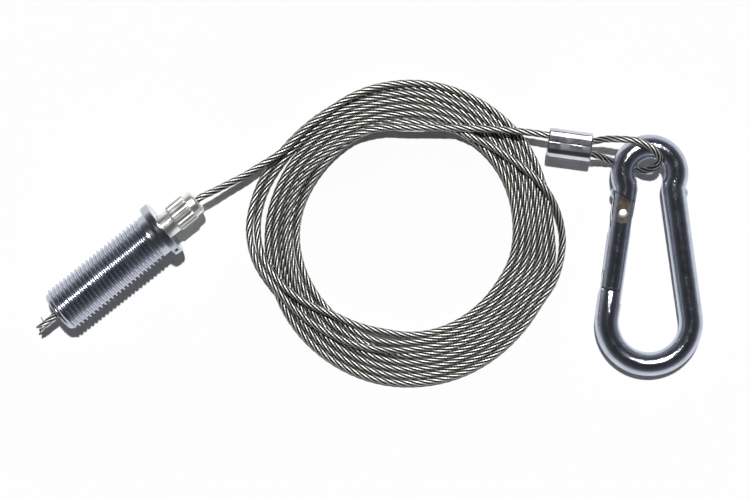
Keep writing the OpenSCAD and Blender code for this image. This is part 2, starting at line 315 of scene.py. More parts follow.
def metal(name, colour, worn, roughness, spread, pit=0.0, pit_size=0.4, turned=0.0):
    """Plated or drawn metal: cloudy colour, uneven gloss, fine pits and turning marks.

    colour and worn are the two tones, roughness goes up by spread in the cloudy spots,
    pit is the depth of the pits and turned that of the tool marks, in millimetres.
    """
    material, tree, shader, add = nodes_of(name)
    place = add("ShaderNodeTexCoord").outputs["Object"]
    cloud = add("ShaderNodeTexNoise", Scale=350.0, Detail=6.0, Roughness=0.65)
    tree.links.new(place, cloud.inputs["Vector"])
    tree.links.new(ramp(add, tree, cloud.outputs["Fac"], colour, worn), shader.inputs["Base Color"])
    shader.inputs["Metallic"].default_value = 1.0
    gloss = add("ShaderNodeMapRange")
    for key, value in (("From Min", 0.35), ("From Max", 0.7), ("To Min", roughness),
                       ("To Max", roughness + spread)):
        gloss.inputs[key].default_value = value
    tree.links.new(cloud.outputs["Fac"], gloss.inputs["Value"])
    tree.links.new(gloss.outputs["Result"], shader.inputs["Roughness"])
    normal = None
    if pit:
        grain = add("ShaderNodeTexNoise", Scale=1 / (pit_size * MM), Detail=3.0, Roughness=0.6)
        tree.links.new(place, grain.inputs["Vector"])
        bump = add("ShaderNodeBump", Strength=1.0, Distance=pit * MM)
        tree.links.new(grain.outputs["Fac"], bump.inputs["Height"])
        normal = bump.outputs["Normal"]
    if turned:
        marks = add("ShaderNodeTexWave", bands_direction="Y", Scale=25.0, Distortion=1.5,
                    Detail=2.0)
        marks.inputs["Detail Scale"].default_value = 3.0
        tree.links.new(add("ShaderNodeTexCoord").outputs["UV"], marks.inputs["Vector"])
        bump = add("ShaderNodeBump", Strength=1.0, Distance=turned * MM)
        tree.links.new(marks.outputs["Fac"], bump.inputs["Height"])
        if normal is not None:
            tree.links.new(normal, bump.inputs["Normal"])
        normal = bump.outputs["Normal"]
    if normal is not None:
        tree.links.new(normal, shader.inputs["Normal"])
    return material


# One turn of the strands takes ROPE_LAY of the rope's length, in ROPE_STEPS rings of points.
ROPE_LAY = 11.3
ROPE_STEPS = 16
STRANDS = 6
WIRES_ROUND = 28
# One strand's skin, as (degrees from its crown, radius)
STRAND = [(-30, 0.50), (-24, 0.61), (-13, 0.715), (0, 0.75), (13, 0.715), (24, 0.61)]


def rope_material():
    """Wire strands: painted shade darkens the grooves between strands, the crowns stay bright, and
    single wires show as lines.

    u runs round the rope along with the strands, and v is the length in centimetres.
    """
    material, tree, shader, add = nodes_of("rope_wire")
    uv = add("ShaderNodeSeparateXYZ")
    tree.links.new(add("ShaderNodeTexCoord").outputs["UV"], uv.inputs["Vector"])

    def maths(operation, first, second=None, third=None):
        node = add("ShaderNodeMath", operation=operation)
        for socket, value in zip(node.inputs, (first, second, third)):
            if value is None:
                continue
            if isinstance(value, (int, float)):
                socket.default_value = value
            else:
                tree.links.new(value, socket)
        return node.outputs["Value"]

    strand = maths("PINGPONG", maths("MULTIPLY", uv.outputs["X"], float(STRANDS)), 0.5)
    crown = maths("MULTIPLY", strand, 2.0)
    turns = maths("MULTIPLY_ADD", uv.outputs["Y"], 10 / ROPE_LAY, uv.outputs["X"])
    wires = maths("SINE", maths("MULTIPLY", turns, WIRES_ROUND * TAU))
    noise = add("ShaderNodeTexNoise", Scale=1400.0, Detail=4.0, Roughness=0.7)
    tree.links.new(add("ShaderNodeTexCoord").outputs["Object"], noise.inputs["Vector"])
    # Painted shade: the colour is near-black in the grooves between strands and bright on the crowns;
    # the noise adds random tone.
    shade_and_tone = maths("ADD", crown, maths("MULTIPLY_ADD", noise.outputs["Fac"], 0.4, -0.2))
    shade_and_tone = maths("MULTIPLY_ADD", wires, 0.06, shade_and_tone)
    colour = ramp(add, tree, shade_and_tone, (0.018, 0.019, 0.015), (0.78, 0.79, 0.74), (0.34, 0.95))
    tree.links.new(colour, shader.inputs["Base Color"])
    shader.inputs["Metallic"].default_value = 1.0
    gloss = add("ShaderNodeMapRange")
    gloss.inputs["To Min"].default_value = 0.5
    gloss.inputs["To Max"].default_value = 0.42
    tree.links.new(crown, gloss.inputs["Value"])
    tree.links.new(gloss.outputs["Result"], shader.inputs["Roughness"])
    bump = add("ShaderNodeBump", Strength=1.0, Distance=0.004 * MM)
    tree.links.new(wires, bump.inputs["Height"])
    tree.links.new(bump.outputs["Normal"], shader.inputs["Normal"])
    return material


zinc = metal("zinc_plate", (0.44, 0.47, 0.54), (0.55, 0.58, 0.65), 0.14, 0.08,
             pit=0.001, pit_size=0.25, turned=0.001)
nickel = metal("nickel_plate", (0.84, 0.84, 0.79), (0.94, 0.94, 0.90), 0.27, 0.1,
               pit=0.002, pit_size=0.3)
hook_plate = metal("hook_plate", (0.42, 0.46, 0.55), (0.56, 0.60, 0.69), 0.09, 0.08,
                   pit=0.045, pit_size=0.32)
# A near-black colour for the flat faces about the rivet.
ear_metal = metal("near_black_ear_metal", (0.035, 0.03, 0.024), (0.12, 0.10, 0.08), 0.26, 0.16,
                  pit=0.01, pit_size=0.12)
bright_steel = metal("rivet_steel", (0.88, 0.87, 0.82), (0.97, 0.96, 0.92), 0.36, 0.1,
                     pit=0.004, pit_size=0.3)
ball_metal = metal("ball_steel", (0.72, 0.73, 0.75), (0.82, 0.83, 0.85), 0.06, 0.05)
spring_metal = metal("spring_steel", (0.42, 0.44, 0.47), (0.55, 0.57, 0.6), 0.28, 0.15,
                     pit=0.003, pit_size=0.1)
brass = metal("turned_brass", (0.68, 0.55, 0.30), (0.80, 0.68, 0.42), 0.2, 0.15,
              pit=0.003, pit_size=0.2)
aluminium = metal("pressed_aluminium", (0.60, 0.60, 0.66), (0.74, 0.75, 0.79), 0.11, 0.04,
                  pit=0.002, pit_size=0.25)
rope_wire = rope_material()


def paint(piece, *materials):
    piece.data.materials.clear()
    for material in materials:
        piece.data.materials.append(material)


# ---------------------------------------------------------------- rope

# The coil as (angle, radius, height) about its centre. The rope runs clockwise,
# and where the angle goes up, the next turn begins. Three turns cross from the inside to the
# outside.
COIL_CENTRE = (7.0, 4.7)
COIL_KEYS = [
    # the lead comes in on top at the outside
    (140, 30.6, 2.8), (125, 30.3, 2.6), (108, 31.0, 2.3), (90, 31.4, 1.9), (45, 31.15, 1.5),
    (0, 30.2, 1.5), (345, 31.1, 0.9), (333, 30.1, 1.1), (315, 29.9, 0.9), (270, 30.0, 0.8),
    (225, 29.1, 0.8), (180, 27.7, 0.8), (135, 26.4, 0.8), (90, 26.6, 0.8), (45, 26.35, 1.5),
    (0, 25.4, 1.5), (345, 25.5, 1.1), (333, 24.9, 1.4), (315, 24.45, 1.5), (270, 24.3, 1.7),
    # crosses to the outside at the left
    (252, 25.3, 2.4), (234, 26.4, 2.5), (216, 28.1, 2.5), (207, 29.1, 2.5), (198, 30.4, 2.4),
    (189, 32.1, 2.0), (180, 33.0, 1.5), (171, 32.9, 1.1), (165, 32.6, 0.8), (157, 32.1, 0.8),
    (148, 31.3, 0.8), (135, 30.6, 0.8), (90, 30.4, 0.8), (45, 29.95, 0.8), (0, 29.0, 0.8),
    (345, 29.7, 0.8), (333, 28.8, 0.8), (315, 28.5, 0.8), (270, 28.6, 0.8),
    (225, 27.6, 0.8), (180, 26.2, 0.8), (135, 24.95, 0.8), (90, 25.1, 0.8), (45, 25.15, 0.8),
    (0, 24.15, 0.8), (345, 24.1, 0.8), (333, 23.5, 0.8), (315, 23.1, 1.0), (270, 22.9, 1.6),
    # crosses to the outside at the upper right
    (250, 23.4, 1.3), (225, 23.1, 1.1), (180, 23.2, 0.8), (135, 22.7, 1.9), (90, 23.2, 2.3),
    (63, 23.8, 2.8),
    (54, 24.4, 3.0), (45, 25.4, 3.0), (36, 26.6, 3.0), (18, 30.2, 2.7), (8, 31.7, 1.9),
    (0, 32.5, 1.2), (350, 32.6, 0.9), (342, 32.2, 0.8), (333, 31.3, 0.8), (322, 31.2, 0.8),
    (300, 31.4, 0.8), (270, 31.4, 0.8),
    (225, 30.5, 0.8), (180, 29.1, 0.8), (135, 27.85, 0.8), (90, 28.1, 0.8), (45, 27.55, 0.8),
    (0, 26.6, 0.8), (345, 26.9, 0.8), (333, 26.2, 0.8), (315, 25.8, 0.8), (270, 25.7, 0.8),
    (250, 24.8, 0.8), (225, 24.7, 0.8), (180, 24.7, 0.8), (135, 23.5, 0.8), (90, 23.7, 0.8),
    (45, 23.95, 1.4),
    (0, 22.95, 1.4), (345, 22.65, 1.2), (333, 22.1, 1.4), (315, 21.8, 1.5), (285, 21.9, 1.6),
    (270, 21.55, 1.8),
    # crosses to the outside at the left, beside the first crossing
    (259, 21.3, 2.1), (243, 21.9, 2.4), (225, 23.5, 2.5), (216, 25.4, 2.5), (202, 28.6, 2.4),
    (190, 30.7, 1.6), (180, 31.4, 0.9), (165, 31.2, 0.8), (150, 30.2, 0.8), (135, 29.25, 0.8),
    (90, 29.2, 1.3), (45, 28.75, 1.5), (0, 27.8, 1.5), (345, 28.3, 1.0),
    (333, 27.5, 1.2), (315, 27.15, 1.0), (270, 27.15, 0.8),
    # the last turn rises to the top at the inside
    (225, 26.1, 1.0), (200, 25.8, 1.8), (180, 25.5, 2.2), (150, 24.4, 2.7), (135, 23.8, 3.2),
    (114, 23.0, 3.6), (99, 22.4, 3.9),
]
LEAD_ROUTE = [(-34.0, 13.0, 6.2), (-30.5, 14.8, 5.0), (-26.5, 16.9, 4.0), (-24.2, 18.4, 3.5),
              (-21.6, 20.0, 3.2), (-18.7, 22.1, 3.0)]
OVER_ROUTE = [(7.0, 26.7, 4.1), (12.0, 26.72, 4.2), (17.0, 26.65, 4.3), (22.0, 26.45, 4.4),
              (28.0, 26.1, 4.6), (31.0, 25.8, 4.8), (33.5, 25.5, 5.0)]
EYE_ROUTE = [(47.9, 24.2, 6.2), (49.9, 24.2, 7.1), (52.0, 24.1, 7.7), (54.0, 23.9, 8.0),
             (55.9, 23.3, 8.1), (57.6, 22.4, 8.1), (59.0, 21.0, 7.8), (59.4, 19.6, 6.8),
             (58.6, 18.3, 5.4), (57.3, 17.8, 4.0), (55.9, 17.8, 2.7), (54.5, 18.2, 1.6),
             (52.5, 18.9, 0.9), (50.4, 19.6, 1.4), (48.6, 20.2, 2.7), (46.9, 20.8, 4.1)]
ROPE_D = 1.5
# Where the free end is on the gripper's axis, and the length that has loose strands only
TAIL_END = -32.5
TAIL_CUT = 0.9
NOSE_X = 10.5
RING_GAP = ROPE_LAY / ROPE_STEPS


def spline(keys, spacing):
    """A smooth line through the keys, with points that far apart."""
    keys = np.asarray(keys, float)
    ends = np.vstack([2 * keys[0] - keys[1], keys, 2 * keys[-1] - keys[-2]])
    gaps = np.sqrt(np.linalg.norm(np.diff(ends, axis=0), axis=1))
    knots = np.concatenate([[0], np.cumsum(gaps)])
    out = []
    for i in range(1, len(ends) - 2):
        p, t = ends[i - 1:i + 3], knots[i - 1:i + 3]
        n = max(2, int(np.linalg.norm(p[2] - p[1]) / spacing * 4))
        for u in np.linspace(t[1], t[2], n, endpoint=False):
            a = [p[j] * (t[j + 1] - u) / (t[j + 1] - t[j]) + p[j + 1] * (u - t[j]) / (t[j + 1] - t[j])
                 for j in range(3)]
            b = [a[j] * (t[j + 2] - u) / (t[j + 2] - t[j]) + a[j + 1] * (u - t[j]) / (t[j + 2] - t[j])
                 for j in range(2)]
            out.append(b[0] * (t[2] - u) / (t[2] - t[1]) + b[1] * (u - t[1]) / (t[2] - t[1]))
    out.append(keys[-1])
    return evenly(np.array(out), spacing)


def evenly(points, spacing):
    """The same line with points that far apart."""
    run = run_along(points)
    at = np.linspace(0, run[-1], int(round(run[-1] / spacing)) + 1)
    return np.stack([np.interp(at, run, points[:, j]) for j in range(3)], axis=1)


def coil_points():
    """The coil's keys as points, every 4 degrees."""
    angles, low = [], None
    for angle, _, _ in COIL_KEYS:
        while low is not None and angle > low:
            angle -= 360
        angles.append(angle)
        low = angle
    angles = np.array(angles, float)
    at = np.arange(angles[0], angles[-1], -4.0)
    keys = np.array(COIL_KEYS, float)
    travel = -angles
    slopes = [np.gradient(keys[:, j], travel) for j in (1, 2)]
    radius, height = (hermite(travel, keys[:, j], s, -at) for j, s in zip((1, 2), slopes))
    a = np.radians(at)
    return np.stack([COIL_CENTRE[0] + radius * np.cos(a), COIL_CENTRE[1] + radius * np.sin(a),
                     height], axis=1)


def hermite(x, y, slope, at):
    """Values at the places at, on the cubic curve through y with those slopes."""
    i = np.clip(np.searchsorted(x, at) - 1, 0, len(x) - 2)
    h = x[i + 1] - x[i]
    t = (at - x[i]) / h
    return ((2 * t**3 - 3 * t**2 + 1) * y[i] + (t**3 - 2 * t**2 + t) * h * slope[i]
            + (3 * t**2 - 2 * t**3) * y[i + 1] + (t**3 - t**2) * h * slope[i + 1])


def settle(points, free, rounds=60, gap=1.47, share=0.32, skip=12):
    """Pushes turns that lie in each other apart, so that they rest side by side.

    Each round takes that share of the overlap, and skip is how many neighbours along the
    rope are left alone. free is 0 where a point is held and 1 where it may move.
    """
    line = points.copy()
    weight = free[:, None]
    for _ in range(rounds):
        tree = KDTree(len(line))
        for i, p in enumerate(line):
            tree.insert(p, i)
        tree.balance()
        push = np.zeros_like(line)
        for i in np.nonzero(free > 0)[0]:
            for co, j, d in tree.find_range(line[i], gap):
                if abs(j - i) > skip and d > 1e-6:
                    push[i] += (line[i] - np.array(co)) / d * (gap - d) * share
        line += push * weight
        line[:, 2] = np.where(free > 0, np.maximum(line[:, 2], ROPE_D / 2), line[:, 2])
        moved = line - points
        mean = moved.copy()
        mean[2:-2] = (moved[:-4] + 2 * moved[1:-3] + 3 * moved[2:-2] + 2 * moved[3:-1]
                      + moved[4:]) / 9
        line += (mean - moved) * 0.5 * weight
    return line


def rope_line():
    """The rope's centreline from its free end to its end in the ferrule.

    Only the stretch from the end of the lead to the fourth last key of OVER_ROUTE settles.
    """
    half = FERRULE_LEN / 2
    keys = [on_gripper(x) for x in (TAIL_END, -20, -10, 0, NOSE_X, NOSE_X + 1)]
    keys += [np.array(p) for p in LEAD_ROUTE]
    before = len(keys)
    keys += list(coil_points())
    keys += [np.array(p) for p in OVER_ROUTE]
    after = len(keys) - 4
    keys += [on_ferrule(-half, FERRULE_SIDE), on_ferrule(half, FERRULE_SIDE)]
    keys += [np.array(p) for p in EYE_ROUTE]
    keys += [on_ferrule(half, -FERRULE_SIDE), on_ferrule(-half, -FERRULE_SIDE)]
    coarse = spline(keys, 1.0)
    start, stop = (int(np.argmin(np.linalg.norm(coarse - keys[i], axis=1)))
                   for i in (before - 1, after))
    index = np.arange(len(coarse))
    free = np.clip(np.minimum(index - start, stop - index) / 8, 0, 1)
    coarse = settle(coarse, free)
    return spline(coarse, RING_GAP)


def make_rope(line):
    """Six strands laid round a core. Each ring is turned by one step of the lay."""
    shape = np.tile([radius for _, radius in STRAND], STRANDS)
    at = np.array([360 / STRANDS * (k + 0.5) + degrees
                   for k in range(STRANDS) for degrees, _ in STRAND])
    line = line[int(TAIL_CUT / RING_GAP):]
    up, over = carried_axes(line)
    n = len(shape)
    angles = np.radians(at)[None, :] + TAU * np.arange(len(line))[:, None] / ROPE_STEPS
    points = line[:, None] + shape[None, :, None] * (
        np.cos(angles)[..., None] * up[:, None] + np.sin(angles)[..., None] * over[:, None])
    faces = grid_faces(len(line), n) + lids(len(line), n)
    uv = [(at[k] / 360, i * RING_GAP / 10) for i in range(len(line)) for k in range(n)]
    rope = add_mesh("rope", points.reshape(-1, 3), faces, uv=uv)
    # The seam's faces would run back round the rope, so their last column gets u = 1.
    layer = rope.data.uv_layers[0].data
    for polygon in list(rope.data.polygons)[n - 1:-2:n]:
        for corner in polygon.loop_indices:
            if rope.data.loops[corner].vertex_index % n == 0:
                layer[corner].uv.x = 1.0
    return rope


# Each cut strand's end, as (how far it reaches, how far it opens)
CUT_STRANDS = [(0.5, 0.06), (0.25, 0.02), (0.85, 0.14), (0.4, 0.04), (0.75, 0.1), (0.1, 0.02)]
STRAND_R = 0.235
STRAND_OUT = 0.47
CORE_R = 0.26
STRAY_R = 0.085
OPENS_OVER = 1.6


def make_cut_end(line):
    """The free end, where the cut strands open out and one wire stands up."""
    up, over = carried_axes(line)
    out = (line[0] - line[1]) / RING_GAP
    stubs = []
    root_run = (int(TAIL_CUT / RING_GAP) + 3) * RING_GAP
    for k, (reach, flare) in enumerate(CUT_STRANDS):
        route = []
        for s in np.linspace(-root_run, reach - TAIL_CUT, 14):
            i = int(np.clip(round(-s / RING_GAP), 0, len(line) - 1))
            a = TAU * ((k + 0.5) / STRANDS - (s + TAIL_CUT) / ROPE_LAY)
            r = STRAND_OUT + flare * np.clip((s + OPENS_OVER) / OPENS_OVER, 0, 1.4) ** 2
            route.append(line[0] + out * s + r * (math.cos(a) * up[i] + math.sin(a) * over[i]))
        stubs.append(sweep("stub", route, STRAND_R, 8))
    core = [line[0] + out * s for s in np.linspace(-2.5, -0.5, 6)]
    stubs.append(sweep("stub", core, CORE_R, 8))
    rise = np.array([0, 0, 1])
    side = np.cross(rise, line[1] - line[0])
    side /= np.linalg.norm(side)
    root = line[int(2.5 / RING_GAP)] + 0.6 * rise + 0.25 * side
    stray = [root + t * 1.3 * side - (t * t) * 0.3 * out + t * 0.6 * rise
             for t in np.linspace(-0.1, 1, 9)]
    stubs.append(sweep("stub", stray, STRAY_R, 8))
    return merge("rope_cut_end", stubs)


def merge(name, objects):
    """One object from several, each still a closed shell of its own."""
    bm = bmesh.new()
    for o in objects:
        bm.from_mesh(o.data)
        bpy.data.objects.remove(o)
    mesh = bpy.data.meshes.new(name)
    bm.to_mesh(mesh)
    bm.free()
    piece = bpy.data.objects.new(name, mesh)
    bpy.context.scene.collection.objects.link(piece)
    smooth(piece, 50)
    return piece


line = rope_line()
rope = make_rope(line)
cut_end = make_cut_end(line)
for piece in (rope, cut_end):
    paint(piece, rope_wire)
    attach(piece, "rope")
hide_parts("rope_tail", "rope_lead", "rope_coil", "rope_ferrule_lead", "rope_eye")


# ---------------------------------------------------------------- ferrule

def make_ferrule():
    """A pressed oval sleeve with flat crimp faces and a crease along its top."""
    outline = [(3.0, 0.0), (2.98, 0.6), (2.8, 1.05), (2.35, 1.52), (2.15, 1.62), (1.35, 1.77),
               (0.5, 1.784), (0.08, 1.784), (0.0, 1.776), (-0.08, 1.784), (-1.35, 1.78),
               (-2.15, 1.68), (-2.35, 1.55), (-2.8, 1.05), (-2.98, 0.6)]
    ring = outline + [(-y, -z) for y, z in outline]
    half = FERRULE_LEN / 2
    rim = [(half - 0.3, 1.0), (half - 0.1, 0.97), (half, 0.93)]
    stations = [(-x, grow) for x, grow in rim[::-1]]
    stations += [(x, 1.0) for x in np.linspace(0.7 - half, half - 0.7, 16)] + rim
    points, uv = [], []
    for x, grow in stations:
        for k, (y, z) in enumerate(ring):
            wave = 1 + 0.0012 * math.sin(1.3 * x + 2 * k) + 0.001 * math.sin(2.9 * x - k)
            points.append((x, y * grow * wave, z * grow * wave))
            uv.append((k / len(ring), x / 10))
    faces = grid_faces(len(stations), len(ring)) + lids(len(stations), len(ring))
    piece = add_mesh("ferrule_sleeve", points, faces, ferrule_frame, uv)
    join_up(piece)
    smooth(piece, 5)
    return piece


sleeve = make_ferrule()
paint(sleeve, aluminium)
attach(sleeve, "rope")
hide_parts("ferrule")


# ---------------------------------------------------------------- gripper

BARREL_LEN = 26.8
STEM_HOLE_R = 2.7
BORE_R = STEM_HOLE_R + 10.4 * math.tan(math.radians(6))
CHAMFER_R = 4.2
ROOT_R = 4.46
CREST_R = 5.0
THREAD_END = -1.2
# How high the thread stands where it has run out, as a share of its depth
RUN_OUT = 0.72
RELIEF_R = ROOT_R + (CREST_R - ROOT_R) * RUN_OUT
PITCH = 1.0
# One pitch of the thread, as (place, height) in shares of the pitch and of the depth
THREAD = [(0.0, 0.0), (0.04, 0.02), (0.29, 0.96), (0.34, 1.0), (0.41, 1.0), (0.46, 0.96),
          (0.71, 0.02), (0.75, 0.0), (0.88, -0.02)]


def make_barrel():
    """The M10x1 thread is one helix. It fades into the end's chamfer and the relief."""
    start, stop = -BARREL_LEN, THREAD_END
    sides = 96
    turns = int((stop - start) / PITCH) + 3
    points, uv = [], []
    rows = [(start + (n - 1) * PITCH + x * PITCH, h) for n in range(turns) for x, h in THREAD]
    for x0, height in rows:
        for k in range(sides):
            x = min(max(x0 + PITCH * k / sides, start), stop)
            full = min(1.0, max(0.0, (stop - x) / 1.2))
            r = ROOT_R + (CREST_R - ROOT_R) * (height * full + RUN_OUT * (1 - full))
            r = min(r, CHAMFER_R + 0.7 * (x - start))
            points.append((x, r * math.cos(TAU * k / sides), -r * math.sin(TAU * k / sides)))
            uv.append((k / sides, x / 10))
    # Each row's last point joins the row that is one pitch on.
    step = len(THREAD)
    faces = []
    for i in range(len(rows) - 1):
        for k in range(sides):
            j = (k + 1) % sides
            up = step if j == 0 else 0
            if i + 1 + up < len(rows):
                faces.append((i * sides + k, (i + 1) * sides + k,
                              (i + 1 + up) * sides + j, (i + up) * sides + j))
    piece = add_mesh("barrel_thread", points, faces, gripper_frame, uv)
    join_up(piece)
    smooth(piece, 45)
    return piece


def make_flange():
    """The flange, the relief below it, the bore and the barrel's end, as one turned skin."""
    notch_x, notch_angle, notch_wide, notch_deep = 0.95, math.radians(154), 0.4, 0.75

    def notch(x, a):
        """A dent in the flange's rim. No ring of the hole's wall is in this range of x."""
        if not 0.1 < x < 1.5:
            return 0.0
        round_by = (a - notch_angle) * FLANGE_R
        near = ((x - notch_x) / notch_wide) ** 2 + (round_by / notch_wide) ** 2
        return notch_deep * math.exp(-near)

    profile = [(THREAD_END, RELIEF_R), (-0.5, 4.84), (-0.15, 4.84), (-0.03, 4.9), (0.0, 5.0),
               (0.0, 5.95), (0.05, 6.08)]
    profile += [(x, FLANGE_R) for x in (0.2, 0.55, 0.8, 0.95, 1.1, 1.35, 1.6)]
    profile += [(1.75, 6.08), (1.8, 5.95), (1.8, 3.1), (1.72, 2.82), (1.55, STEM_HOLE_R),
                (-1.0, STEM_HOLE_R), (-11.4, BORE_R), (-26.5, BORE_R), (-26.75, BORE_R + 0.12),
                (-BARREL_LEN, BORE_R + 0.2), (-BARREL_LEN, CHAMFER_R)]
    return lathe("barrel_shell", profile, gripper_frame, 192, notch, sharp=35, caps=False)


def make_button():
    """Stem, fluted band and rounded nose, with the hole that the rope comes out of."""
    flutes, across = 24, 6
    groove = [0.2, 0.12, 0.0, 0.0, 0.0, 0.12]

    def flute(x, a):
        """How deep the groove is at that place on the band."""
        if not 4.09 < x < 8.61:
            return 0.0
        depth = groove[int(round(a / TAU * flutes * across)) % across]
        return depth * min(1.0, (x - 4.05) / 0.2, (8.65 - x) / 0.2)

    profile = [(3.0, 0.02), (3.0, 0.95), (9.9, 0.95), (10.15, 1.0), (10.4, 1.25),
               (NOSE_X, 1.6), (NOSE_X, 2.1), (10.44, 2.3), (10.28, 2.48), (10.0, 2.62), (9.8, 2.65),
               (8.68, 2.65), (8.6, 2.7), (8.58, 2.74), (8.38, 2.95), (8.3, 2.97)]
    profile += [(x, 2.97) for x in np.linspace(8.0, 4.7, 8)]
    profile += [(4.4, 2.97), (4.32, 2.95), (4.12, 2.74), (4.1, 2.7), (4.06, 2.65),
                (-0.65, 2.65), (-0.7, 2.6), (-0.7, 1.7), (2.9, 1.7), (2.9, 0.02)]
    return lathe("button_skin", profile, gripper_frame, flutes * across, flute, sharp=32)


def make_spring(name, place, r, low, high, turns, wire_d, way):
    """A compression spring along an axis of the frame, with its end turns a little closer."""
    route = []
    for t in np.linspace(0, 1, int(turns * 28)):
        rise = t - 0.03 * math.sin(TAU * t)
        run = low + wire_d / 2 + (high - low - wire_d) * rise
        a = TAU * turns * t
        across = (r * math.cos(a), r * math.sin(a))
        route.append((run, *across) if way == "X" else (across[0], run, across[1]))
    return sweep(name, route, wire_d / 2, 10, place)


barrel = make_barrel()
shell = make_flange()
button = make_button()
plug = lathe("plug_ring", [(-23.5, 1.0), (-23.5, BORE_R - 0.1), (-23.6, BORE_R), (-26.4, BORE_R),
                           (-26.5, BORE_R - 0.1), (-26.5, 1.4), (-26.3, 1.12), (-26.1, 1.0)],
             gripper_frame, 96, closed=True, sharp=35)
for piece, nodes in ((barrel, ["threaded_barrel"]), (shell, ["threaded_barrel"]),
                     (plug, ["barrel_plug"])):
    paint(piece, zinc)
    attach(piece, "gripper")
    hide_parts(*nodes)
paint(button, nickel)
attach(button, "button")
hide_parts("release_button")

coil_spring = make_spring("release_spring_wire", gripper_frame, 3.0, -23.5, -14.5, 6.5, 0.55, "X")
paint(coil_spring, spring_metal)
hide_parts("release_spring")
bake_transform(coil_spring)


# ---------------------------------------------------------------- snap hook

# Two points of the slanting seam between gate and hook, in the gate's frame
SHOULDER = [(-2.45, 4.5), (1.82, 2.88)]
NECK_R = 2.8
# Half thicknesses: tongue and nose, the slots for them, the gate's ears, the latch's web
TONGUE_HALF = 1.0
SLOT_HALF = 1.05
EAR_HALF = 1.95
NOTCH_HALF = 0.9
# Far enough to cut right through
THROUGH = 6


def arc(centre, radius, start, stop, step=3.0):
    """Points on an arc, with angles in degrees."""
    n = max(2, int(abs(stop - start) / step) + 1)
    a = np.radians(np.linspace(start, stop, n))
    return [(centre[0] + radius * math.cos(t), centre[1] + radius * math.sin(t)) for t in a]


def shoulder_frame():
    """The frame of the seam, with X along it."""
    (x0, y0), (x1, y1) = SHOULDER
    return gate_frame @ shift(x0, y0) @ turn(math.degrees(math.atan2(y1 - y0, x1 - x0)), "Z")


def cutter(outline, place, low=-THROUGH, high=THROUGH):
    return prism("cut", outline, low, high, place)


def hook_route():
    """The wire's line in the hook's plane, from the latch round to the gate's shoulder."""
    limb_out = limb_foot @ slope_way
    neck_turn = math.degrees(math.acos((limb_out + NECK_R) / (EYE_R + NECK_R)))
    neck = neck_turn - SLOPE
    centre = (EYE_R + NECK_R) * np.array([math.cos(math.radians(neck)),
                                          -math.sin(math.radians(neck))])
    latch_y = RIVET_Y - (GATE_LEN + 0.23) * slope_way[0]
    top = centre - NECK_R * slope_way
    stub_y = RIVET_Y + 1
    parts = [[(-limb_x(latch_y), latch_y)],
             arc((0, -EYE_TO_BOW), BOW_R, 180 - SLOPE, 360 + SLOPE),
             [limb_foot + (top - limb_foot) * t for t in np.linspace(0.04, 0.96, 24)],
             arc(centre, NECK_R, 180 + SLOPE, 180 - neck, 4.0),
             arc((0, 0), EYE_R, -neck, 180 + neck, 4.0)[1:],
             arc((-centre[0], centre[1]), NECK_R, neck, -SLOPE, 4.0)[1:],
             [(-limb_x(stub_y), stub_y)]]
    return np.array([(x, y, 0.0) for part in parts for x, y in part]), centre


def make_lug(x, y, z):
    """One of the small humps on the wire beside the neck."""
    bm = bmesh.new()
    bmesh.ops.create_uvsphere(bm, u_segments=32, v_segments=20, radius=1.0)
    bmesh.ops.scale(bm, vec=(1.15, 1.35, 1.5), verts=bm.verts)
    mesh = bpy.data.meshes.new("lug")
    bm.to_mesh(mesh)
    bm.free()
    mesh.transform(Matrix.Scale(MM, 4) @ hook_frame @ shift(x, y, z))
    lug = bpy.data.objects.new("lug", mesh)
    bpy.context.scene.collection.objects.link(lug)
    return lug


def make_hook():
    """The bent wire, its flat tongue at the gate's hinge and its thin nose at the latch."""
    route, neck = hook_route()
    end = route[0] + (route[1] - route[0]) * (np.array([[0.0], [0.12], [0.3]]) / 6)
    route = np.vstack([end, route[1:]])
    radius = np.full(len(route), WIRE_R)
    radius[:2] = WIRE_R - 0.3, WIRE_R - 0.07
    body = sweep("hook_wire", route, radius, 72, hook_frame, 30)
    lugs = [make_lug(side * (neck[0] - 0.85), neck[1] - 1.0, -0.4) for side in (-1, 1)]
    tongue = prism("tongue", [(-2.3, 5.0), (-2.3, 0), (-2.0, -2.2), (2.0, -2.2), (2.2, 0),
                              (2.2, 3.4), (0, 5.0)], -TONGUE_HALF, TONGUE_HALF, gate_frame)
    nose = prism("nose", box_outline(-2.2, 1.0, -GATE_LEN - 1, -12.75), -TONGUE_HALF,
                 TONGUE_HALF, gate_frame)
    latch = [(6, 1), (6, -5.3), (2.5, -5.3), (1.35, -3.2), (1.35, 1)]
    latch = [(x, y - GATE_LEN) for x, y in latch]
    carve(body, [cutter(box_outline(-4, 8, -THROUGH, 0), shoulder_frame()),
                 cutter(box_outline(1.35, 5.4, -GATE_LEN - 3, -GATE_LEN + 1), gate_frame),
                 cutter(latch, gate_frame, low=NOTCH_HALF),
                 cutter(latch, gate_frame, high=-NOTCH_HALF)])
    return carve(body, lugs + [tongue, nose], "UNION")


